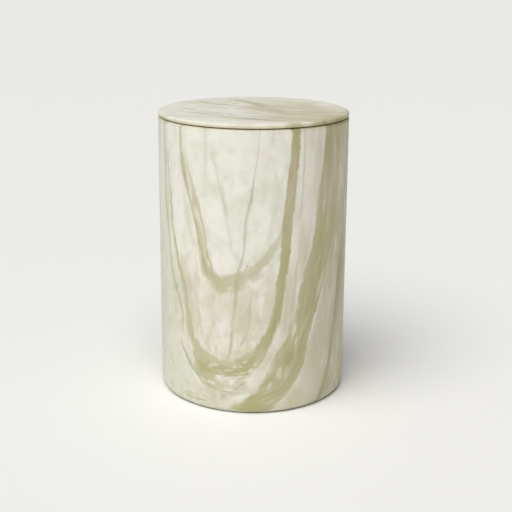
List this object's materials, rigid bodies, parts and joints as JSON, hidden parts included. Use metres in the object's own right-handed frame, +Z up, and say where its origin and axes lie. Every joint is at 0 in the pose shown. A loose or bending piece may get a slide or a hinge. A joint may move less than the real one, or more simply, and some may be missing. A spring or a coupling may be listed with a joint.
{
  "type": "cremation urn",
  "caption": "Straight round stone urn for ashes: a hollow turned vessel with rounded edges, closed by a thin flat lid that drops into its mouth and lifts off.",
  "frame": {"origin": "centre of the underside, on the surface that the urn stands on", "axes": "+Z up, along the axis of the turning; -Y towards the side that the picture shows"},
  "size_m": [0.16, 0.16, 0.2397],
  "materials": {
    "stone": "satin polished banded stone, ivory with olive veins",
    "lid_stone": "satin polished banded stone, ivory and tan with olive veins"
  },
  "bodies": {
    "root": {"body": "stone", "lid": "lid_stone"}
  },
  "joints": []
}
